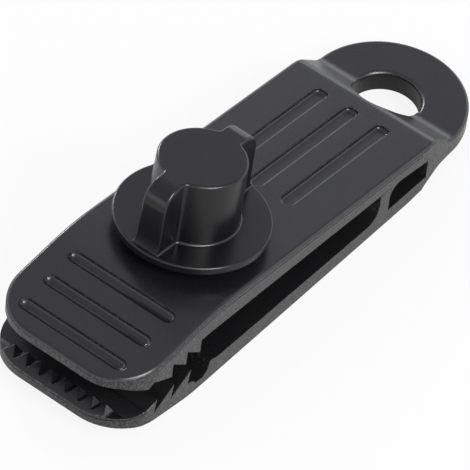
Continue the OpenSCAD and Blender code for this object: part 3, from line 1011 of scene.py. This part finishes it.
    def lip_seam(self) -> Solid:
        """Makes the cutter of the fine parting line round the front of the lip.

        Returns:
            The cutter, in place.
        """
        body = self.body
        wide = body.half_w + body.past
        front_x, end_x = self.front_x - body.past, self.barb_x - self.barb_pitch / 2
        high_z = self.lip_z - self.seam_drop
        ring = [Corner(front_x, -wide), Corner(end_x, -wide), Corner(end_x, wide), Corner(front_x, wide)]
        cutter = Solid.prism(Plane.XY, ring, high_z - self.seam_w, high_z)
        inner_x, inner_r = self.front_x + self.seam_depth, self.corner_r - self.seam_depth
        half, reach = body.half_w - self.seam_depth, end_x + body.past
        inner = [Corner(inner_x, -half, inner_r, body.corner_steps), Corner(reach, -half),
                 Corner(reach, half), Corner(inner_x, half, inner_r, body.corner_steps)]
        core = Solid.prism(Plane.XY, inner, high_z - body.past, high_z + body.past)
        return cutter.combined(core, Join.CUT)

    def plan(self) -> Solid:
        """Makes the block that holds the outline seen from above.

        Returns:
            The block, higher than the shell.
        """
        body = self.body
        corners = [Corner(self.front_x, body.half_w, self.corner_r, body.corner_steps),
                   Corner(self.front_x, -body.half_w, self.corner_r, body.corner_steps),
                   Corner(body.window_x, -body.half_w)]
        corners += arc((self.eyelet_x, 0.0), self.eyelet_r, -90.0, 90.0, self.eyelet_steps)
        corners.append(Corner(body.window_x, body.half_w))
        return Solid.prism(Plane.XY, corners, -body.wide, body.wide)

    def build(self, finish: bpy.types.Material) -> bpy.types.Object:
        """Makes the shell on the base body.

        Args:
            finish: The body's material.

        Returns:
            The piece.
        """
        body = self.body
        shell = Solid.prism(Plane.XZ, self.outline(), -body.wide, body.wide)
        shell.combined(self.teeth(), Join.ADD)
        shell.combined(self.plan(), Join.COMMON)
        shell.bevelled(body.edge_r, body.edge_steps, self._is_rear_top)
        shell.bevelled(body.edge_r, self.rear_foot_steps, self._is_rear_foot)
        hole = Solid.rod(-body.wide, body.wide, self.hole_r)
        shell.combined(hole.moved(Matrix.Translation((self.eyelet_x, 0.0, 0.0))), Join.CUT)
        shell.bevelled(self.rim_r, body.edge_steps, self._is_rim)
        self._seat_nut(shell)
        shell.bevelled(self.small_r, SMALL_STEPS,
                       lambda e: not lies_at(e, Axis.X, body.window_x) and not self._is_rib(e))
        shell.combined(self.lip_seam(), Join.CUT)
        piece = shell.made("lower_shell", finish, Slot.BODY)
        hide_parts("lower_jaw")
        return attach(piece, "base")

    def _seat_nut(self, shell: Solid) -> None:
        """Adds the boss with its bore and the pocket for the nut.

        Args:
            shell: The shell that gets them.
        """
        past = self.body.past
        at_nut = Matrix.Translation((self.nut_x, 0.0, 0.0))
        boss = Solid.rod(self.trough_z, self.boss_z, self.boss_r)
        boss.bevelled(self.boss_edge_r, self.boss_edge_steps, lambda e: lies_at(e, Axis.Z, self.boss_z))
        shell.combined(boss.moved(at_nut), Join.ADD)
        bore = Solid.rod(-past, self.boss_z + past, self.bore_r, PLAIN_ROUND)
        shell.combined(bore.moved(at_nut), Join.CUT)
        pocket = Solid.rod(-past, self.pocket_z, self.pocket_r, HEX)
        shell.combined(pocket.moved(at_nut @ QUARTER_TURN), Join.CUT)

    def _is_rear_top(self, edge: bmesh.types.BMEdge) -> bool:
        """Says whether an edge runs round the top of the rear block and the eyelet.

        Args:
            edge: A sharp edge.

        Returns:
            Whether it is one of these.
        """
        window_x = self.body.window_x
        behind = all(vert.co.x > window_x - NEAR for vert in edge.verts)
        return behind and tops_a_side(edge) and not lies_at(edge, Axis.X, window_x)

    def _is_rear_foot(self, edge: bmesh.types.BMEdge) -> bool:
        """Says whether an edge runs round the underside behind the flat foot."""
        return foots_a_side(edge) and all(v.co.x > self.rise_x for v in edge.verts)

    def _is_rib(self, edge: bmesh.types.BMEdge) -> bool:
        """Says whether an edge lies in the ribbed floor behind the teeth."""
        low, high = self.ribs_x - NEAR, self.ribs_end_x + NEAR
        return all(low < v.co.x < high and v.co.z < self.lip_z for v in edge.verts)

    def _is_rim(self, edge: bmesh.types.BMEdge) -> bool:
        """Says whether an edge is the eyelet hole's rim on the flat top."""
        reach = [math.hypot(v.co.x - self.eyelet_x, v.co.y) for v in edge.verts]
        return lies_at(edge, Axis.Z, self.eyelet_z) and all(abs(r - self.hole_r) < NEAR for r in reach)


@dataclass
class FlexWeb:
    """Upright web between the plates, which bends as the jaw closes."""

    body: Moulding
    foot_r: float = 3.0
    foot_steps: int = 12
    small_r: float = 0.12
    slices: int = 5

    def build(self, finish: bpy.types.Material) -> bpy.types.Object:
        """Makes the web, with cross lines for bending between its foot and its top.

        Args:
            finish: The body's material.

        Returns:
            The piece.
        """
        body = self.body
        mid = (body.web_x - self.foot_r, body.floor_z + self.foot_r)
        corners = arc(mid, self.foot_r, -90.0, 0.0, self.foot_steps)
        corners += [Corner(body.web_x, body.web_under_z), Corner(body.web_back_x, body.web_back_z),
                    Corner(body.web_back_x, body.floor_z)]
        web = Solid.prism(Plane.XZ, corners, -body.half_w, body.half_w)
        web.bevelled(self.small_r, SMALL_STEPS, self._is_free)
        rise = body.web_under_z - body.floor_z
        shares = [(i + 1) / (self.slices + 1) for i in range(self.slices)]
        web.sliced([body.floor_z + rise * share for share in shares], Axis.Z)
        piece = web.made("web", finish, Slot.BODY)
        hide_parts("flex_web")
        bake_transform(piece)
        return piece

    def _is_free(self, edge: bmesh.types.BMEdge) -> bool:
        """Says whether an edge lies along a side and not in a joint.

        Args:
            edge: A sharp edge.

        Returns:
            Whether it is one of these.
        """
        body = self.body
        beside = any(lies_at(edge, Axis.Y, side * body.half_w) for side in (-1, 1))
        above = all(v.co.z > body.web_under_z - NEAR for v in edge.verts)
        return beside and not above and not lies_at(edge, Axis.Z, body.floor_z)


@dataclass
class ThumbKnob:
    """Knob with a collar, a flange, a hub and two wings, drawn along its own axis."""

    body: Moulding
    seat_z: float = 0.1
    core_r: float = 1.0
    collar_r: float = 9.0
    collar_cut: float = 0.3
    collar_root_cut: float = 0.4
    collar_steps: int = 3
    flange_z: float = 2.3
    flange_top: float = 3.9
    flange_r: float = 13.75
    flange_cut: float = 0.35
    flange_steps: int = 4
    hub_r: float = 8.1
    hub_top_r: float = 7.8
    hub_steps: int = 36
    top_z: float = 16.6
    wing_half: float = 12.7
    foot_half: float = 13.05
    flare_z: float = 5.25
    flare_cut: float = 1.2
    flare_steps: int = 6
    corner_cut: float = 3.8
    corner_steps: int = 10
    wing_t: float = 5.0
    wing_top_t: float = 4.6
    shank_r: float = 3.02
    shank_over: float = 1.0
    shank_lap: float = 0.1
    head_r: float = 5.79
    head_z: float = 10.2
    head_top: float = 14.2
    sink: float = 0.6
    edge_r: float = 0.48
    edge_steps: int = 4
    root_r: float = 1.0
    root_steps: int = 6
    foot_r: float = 0.55
    foot_sink: float = 0.03
    foot_steps: int = 6

    def plan(self, share: float, grow: float) -> list[Corner]:
        """Gives the hub and the wings seen from above, with rounded corners between them.

        Args:
            share: Height above the foot as a share of the whole, for the taper.
            grow: How far the outline is set outward.

        Returns:
            The outline, with equally many corners at each height.
        """
        hub_r = slope(self.hub_r, self.hub_top_r, share)
        half = slope(self.wing_t, self.wing_top_t, share) / 2
        root_y, root_away = half + self.root_r, hub_r + self.root_r
        lean = math.degrees(math.asin(root_y / root_away))
        root_x = root_away * math.cos(math.radians(lean))
        bend_r, reach = self.root_r - grow, self.foot_half + self.body.past
        side = [Corner(reach, half + grow)]
        side += arc((root_x, root_y), bend_r, 270.0, 180.0 + lean, self.root_steps)
        side += arc((0.0, 0.0), hub_r + grow, lean, 180.0 - lean, self.hub_steps)[1:-1]
        side += arc((-root_x, root_y), bend_r, 360.0 - lean, 270.0, self.root_steps)
        side.append(Corner(-reach, half + grow))
        return side + [Corner(-corner.across, -corner.up) for corner in side]

    def side_view(self) -> list[Corner]:
        """Gives the wings seen from the side, with flared feet and rounded tops.

        Returns:
            The corners in order.
        """
        right = [Corner(self.foot_half, self.seat_z), Corner(self.foot_half, self.flange_top),
                 Corner(self.wing_half, self.flare_z, self.flare_cut, self.flare_steps),
                 Corner(self.wing_half, self.top_z, self.corner_cut, self.corner_steps)]
        return right + [Corner(-c.across, c.up, c.cut, c.steps) for c in reversed(right)]

    def grip(self) -> Solid:
        """Makes the hub and the wings, which widen to a rounded foot and thin towards the top.

        Returns:
            The grip, sunk a little into the flange.
        """
        foot_z = self.flange_top - self.foot_sink
        levels = [(self.flange_top - self.sink, self.plan(0.0, self.foot_r))]
        for i in range(self.foot_steps + 1):
            turn = math.radians(90.0 * i / self.foot_steps)
            rise = self.foot_r * (1.0 - math.cos(turn))
            levels.append((foot_z + rise, self.plan(0.0, self.foot_r * (1.0 - math.sin(turn)))))
        wall_z = foot_z + self.foot_r
        over = self.top_z + self.body.past
        levels.append((over, self.plan((over - wall_z) / (self.top_z - wall_z), 0.0)))
        grip = Solid.lofted(Plane.XY, levels)
        sides = Solid.prism(Plane.XZ, self.side_view(), -self.body.wide, self.body.wide)
        grip.combined(sides, Join.COMMON)
        return grip.bevelled(self.edge_r, self.edge_steps,
                             lambda e: all(v.co.z > wall_z - NEAR for v in e.verts))

    def build(self, finish: bpy.types.Material) -> bpy.types.Object:
        """Makes the knob on the knob body.

        Args:
            finish: The knob's material.

        Returns:
            The piece.
        """
        knob = Solid.turned([
            Corner(self.core_r, self.seat_z),
            Corner(self.collar_r, self.seat_z, self.collar_cut, self.collar_steps),
            Corner(self.collar_r, self.flange_z, self.collar_root_cut, self.collar_steps),
            Corner(self.flange_r, self.flange_z, self.flange_cut, self.flange_steps),
            Corner(self.flange_r, self.flange_top, self.flange_cut, self.flange_steps),
            Corner(self.core_r, self.flange_top)])
        knob.combined(self.grip(), Join.ADD)
        shank = Solid.rod(self.seat_z - self.shank_over, self.head_z + self.shank_lap,
                          self.shank_r, PLAIN_ROUND)
        knob.combined(shank, Join.CUT)
        head = Solid.rod(self.head_z, self.head_top, self.head_r, HEX)
        knob.combined(head.moved(QUARTER_TURN), Join.CUT)
        piece = knob.moved(self.body.on_plate(self.body.knob_x)).made("knob", finish, Slot.KNOB)
        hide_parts("thumb_knob")
        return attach(piece, "knob")


@dataclass
class KnobScrew:
    """Steel screw with a cut thread, its head held in the knob."""

    body: Moulding
    end_z: float = -13.7
    end_cut: float = 0.4
    end_steps: int = 3
    core_r: float = 2.55
    core_lap: float = 0.2
    thread_r: float = 3.0
    thread_sink: float = 0.1
    thread_foot: float = 0.4
    crest_foot: float = 0.85
    crest_top: float = 0.95
    thread_end: float = 1.38
    thread_room: float = 1.4
    pitch: float = 1.0
    thread_top: float = 0.4
    turn_steps: int = 32
    head_z: float = 10.2
    head_top: float = 14.2
    head_r: float = 5.7735

    def build(self, finish: bpy.types.Material) -> bpy.types.Object:
        """Makes the screw on the knob body.

        Args:
            finish: The steel.

        Returns:
            The piece.
        """
        screw = Solid.rod(self.end_z, self.head_z + self.core_lap, self.core_r, PLAIN_ROUND)
        screw.bevelled(self.end_cut, self.end_steps, lambda e: lies_at(e, Axis.Z, self.end_z))
        screw.joined(Solid.rod(self.head_z, self.head_top, self.head_r, HEX).moved(QUARTER_TURN))
        screw.joined(Solid.rod(self.thread_top, self.head_z, self.thread_r, PLAIN_ROUND))
        screw.joined(self.thread())
        piece = screw.moved(self.body.on_plate(self.body.knob_x)).made("screw", finish, Slot.SCREW)
        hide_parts("knob_screw")
        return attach(piece, "knob")

    def thread(self) -> Solid:
        """Makes the thread's ridge by turning a small section along the axis.

        Returns:
            The ridge with closed ends.
        """
        root_r = self.core_r - self.thread_sink
        ridge = Solid.prism(Plane.XZ, [Corner(root_r, self.end_z + self.thread_foot),
                                       Corner(self.thread_r, self.end_z + self.crest_foot),
                                       Corner(self.thread_r, self.end_z + self.crest_top),
                                       Corner(root_r, self.end_z + self.thread_end)], 0.0, 1.0)
        ridge.drop_behind()
        turns = int(self.thread_top - self.end_z - self.thread_room)
        section = list(ridge.bm.verts) + list(ridge.bm.edges) + list(ridge.bm.faces)
        bmesh.ops.spin(ridge.bm, geom=section, cent=(0.0, 0.0, 0.0), axis=(0.0, 0.0, 1.0),
                       dvec=(0.0, 0.0, self.pitch / self.turn_steps), angle=math.tau * turns,
                       steps=turns * self.turn_steps)
        return ridge.tidy()


@dataclass
class CaptiveNut:
    """Steel nut with chamfered corners in the boss of the lower plate."""

    x: float = -18.977
    foot_z: float = 0.4
    top_z: float = 5.4
    corner_r: float = 5.7735
    chamfer_r: float = 5.2
    chamfer_h: float = 0.45
    bore_r: float = 3.4
    bore_over: float = 1.0
    blank_core_r: float = 0.5
    blank_room: float = 0.2
    blank_over: float = 0.1
    blank_steps: int = 64
    edge_r: float = 0.12

    def build(self, finish: bpy.types.Material) -> bpy.types.Object:
        """Makes the nut on the base body.

        Args:
            finish: The steel.

        Returns:
            The piece.
        """
        nut = Solid.rod(self.foot_z, self.top_z, self.corner_r, HEX).moved(QUARTER_TURN)
        reach, core_r = self.corner_r + self.blank_room, self.blank_core_r
        low, high = self.foot_z - self.blank_over, self.top_z + self.blank_over
        blank = Solid.turned([Corner(core_r, low), Corner(self.chamfer_r, low),
                              Corner(reach, self.foot_z + self.chamfer_h),
                              Corner(reach, self.top_z - self.chamfer_h),
                              Corner(self.chamfer_r, high), Corner(core_r, high)], self.blank_steps)
        nut.combined(blank, Join.COMMON)
        bore = Solid.rod(self.foot_z - self.bore_over, self.top_z + self.bore_over, self.bore_r, PLAIN_ROUND)
        nut.combined(bore, Join.CUT)
        nut.bevelled(self.edge_r, SMALL_STEPS, lambda e: True)
        nut.moved(Matrix.Translation((self.x, 0.0, 0.0)))
        piece = nut.made("nut", finish, Slot.NUT)
        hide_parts("captive_nut")
        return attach(piece, "base")


@dataclass(frozen=True)
class SoftLamp:
    """A square soft lamp aimed at the clip, in metres and watts."""

    name: str
    place: tuple[float, float, float]
    side: float
    watts: float

    def build(self) -> None:
        """Makes the lamp."""
        data = bpy.data.lights.new(self.name, "AREA")
        data.size = self.side
        data.energy = self.watts
        lamp = bpy.data.objects.new(self.name, data)
        place = Vector(self.place)
        lamp.matrix_world = Matrix.LocRotScale(place, (-place).to_track_quat("-Z", "Y"), None)
        bpy.context.scene.collection.objects.link(lamp)


@dataclass
class Studio:
    """Camera, floor and soft lights around the clip."""

    camera_place: Vector = field(default_factory=lambda: Vector((-444.10, -289.94, 542.63)) * MM)
    camera_target: Vector = field(default_factory=lambda: Vector((-2.078, 1.203, 1.713)) * MM)
    camera_roll: float = math.radians(6.922)
    camera_focal_px: float = 4360.281
    camera_sight: float = 20.0
    floor_side: float = 6.0
    floor_drop: float = 0.0001
    floor_colour: tuple[float, float, float, float] = (0.72, 0.72, 0.72, 1.0)
    floor_glow: float = 0.88
    floor_shine: float = 0.1
    white: tuple[float, float, float, float] = (1.0, 1.0, 1.0, 1.0)
    sky_colour: tuple[float, float, float, float] = (0.75, 0.75, 0.77, 1.0)
    sky_tint: tuple[float, float, float] = (0.98, 0.99, 1.09)
    sky_tones: tuple[tuple[float, float], ...] = (
        (0.0, 1.0), (0.2, 2.1), (0.36, 2.1), (0.48, 0.72),
        (0.59, 0.62), (0.72, 0.82), (0.85, 0.64), (1.0, 0.8))
    panel_aim: tuple[float, float, float] = (-0.30, -0.66, 0.69)
    panel_colour: tuple[float, float, float, float] = (6.0, 6.0, 6.1, 1.0)
    panel_edge: tuple[float, float] = (0.91, 0.975)
    lamps: tuple[SoftLamp, ...] = (
        SoftLamp("near_softbox", (-0.14, -0.66, 0.62), 0.36, 5.0),
        SoftLamp("back_softbox", (0.40, 0.72, 0.37), 0.12, 2.6))

    def build(self) -> None:
        """Makes everything round the object."""
        bpy.context.scene.view_settings.view_transform = "Standard"
        self.make_camera()
        self.make_floor()
        self.make_sky()
        for lamp in self.lamps:
            lamp.build()

    def make_camera(self) -> None:
        """Places the camera at the photograph's viewing angle."""
        data = bpy.data.cameras.new("camera")
        data.sensor_width = SENSOR_MM
        data.lens = self.camera_focal_px * SENSOR_MM / IMAGE_SIDE
        data.clip_end = self.camera_sight
        camera = bpy.data.objects.new("camera", data)
        aim = (self.camera_target - self.camera_place).to_track_quat("-Z", "Y")
        turn = aim @ Quaternion((0.0, 0.0, 1.0), self.camera_roll)
        camera.matrix_world = Matrix.LocRotScale(self.camera_place, turn, None)
        bpy.context.scene.collection.objects.link(camera)
        bpy.context.scene.camera = camera

    def make_floor(self) -> None:
        """Makes a pale floor that shows white to the camera and keeps the clip's shadow."""
        bm = bmesh.new()
        bmesh.ops.create_grid(bm, x_segments=1, y_segments=1, size=self.floor_side / 2,
                              matrix=Matrix.Translation((0.0, 0.0, -self.floor_drop)))
        mesh = bpy.data.meshes.new("floor")
        bm.to_mesh(mesh)
        bm.free()
        floor = bpy.data.objects.new("floor", mesh)
        bpy.context.scene.collection.objects.link(floor)
        tree = ShaderTree(bpy.data.materials.new("pale_floor"))
        path = tree.node("ShaderNodeLightPath")
        seen = tree.maths("MAXIMUM", path.outputs["Is Camera Ray"], path.outputs["Is Transmission Ray"])
        shiny = tree.output(path, "Is Glossy Ray") * self.floor_shine
        matt = tree.node("ShaderNodeBsdfDiffuse", None, {"Color": self.floor_colour})
        glow = tree.node("ShaderNodeEmission", None, {"Color": self.white, "Strength": 1.0})
        mix = tree.node("ShaderNodeMixShader", None, {
            0: seen * self.floor_glow + shiny, 1: matt.outputs["BSDF"], 2: glow.outputs["Emission"]})
        tree.node("ShaderNodeOutputMaterial", None, {"Surface": mix.outputs["Shader"]})
        mesh.materials.append(tree.owner)

    def make_sky(self) -> None:
        """Makes a sky that is white to the camera and has bands and a bright panel in reflections."""
        tree = ShaderTree(bpy.data.worlds.new("sky"))
        bpy.context.scene.world = tree.owner
        path = tree.node("ShaderNodeLightPath")
        aim = tree.node("ShaderNodeTexCoord").outputs["Generated"]
        height = tree.node("ShaderNodeSeparateXYZ", None, {"Vector": aim}).outputs["Z"]
        tones = [(place, (*(tone * part for part in self.sky_tint), 1.0))
                 for place, tone in self.sky_tones]
        fall = tree.node("ShaderNodeValToRGB", {"stops": tones}, {"Fac": height})
        seen = tree.maths("MAXIMUM", path.outputs["Is Camera Ray"], path.outputs["Is Transmission Ray"])
        turned = tree.node("ShaderNodeVectorMath", {"operation": "DOT_PRODUCT"},
                           {0: aim, 1: self.panel_aim})
        edge_start, edge_end = self.panel_edge
        panel = tree.node("ShaderNodeMapRange", {"interpolation_type": "SMOOTHSTEP"}, {
            "Value": turned.outputs["Value"], "From Min": edge_start, "From Max": edge_end})
        lit = tree.node("ShaderNodeMix", {"data_type": "RGBA"}, {
            "Factor": panel.outputs["Result"], "A": fall.outputs["Color"], "B": self.panel_colour})
        shade = tree.node("ShaderNodeMix", {"data_type": "RGBA"}, {
            "Factor": path.outputs["Is Glossy Ray"], "A": self.sky_colour, "B": lit.outputs["Result"]})
        colour = tree.node("ShaderNodeMix", {"data_type": "RGBA"}, {
            "Factor": seen, "A": shade.outputs["Result"], "B": self.white})
        sky = tree.node("ShaderNodeBackground", None, {
            "Color": colour.outputs["Result"], "Strength": 1.0})
        tree.node("ShaderNodeOutputWorld", None, {"Surface": sky.outputs["Background"]})


@dataclass
class TarpClip:
    """The whole clip: the moulded body's pieces, the knob, its screw and its nut."""

    body: Moulding = field(default_factory=Moulding)
    knob_roughness: float = 0.25
    knob_ior: float = 1.43

    def build(self) -> None:
        """Makes the finishes and then the pieces."""
        nylon = MouldedNylon("black_nylon").material()
        grip = MouldedNylon("knob_nylon", colour=KNOB_DARK, pale=KNOB_PALE, side_grain_and_sheen=0.0,
                            roughness=self.knob_roughness, ior=self.knob_ior).material()
        steel = ZincSteel("zinc_steel").material()
        for name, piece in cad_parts.items():
            piece.data.materials.clear()
            piece.data.materials.append(steel if name in STEEL_NODES else nylon)
        LowerShell(self.body).build(nylon)
        UpperShell(self.body).build(nylon)
        FlexWeb(self.body).build(nylon)
        ThumbKnob(self.body).build(grip)
        KnobScrew(self.body).build(steel)
        CaptiveNut().build(steel)


def main() -> None:
    """Builds the clip's pieces in order."""
    logging.basicConfig(level=logging.INFO)
    Studio().build()
    TarpClip().build()


if __name__ == "__main__":
    main()
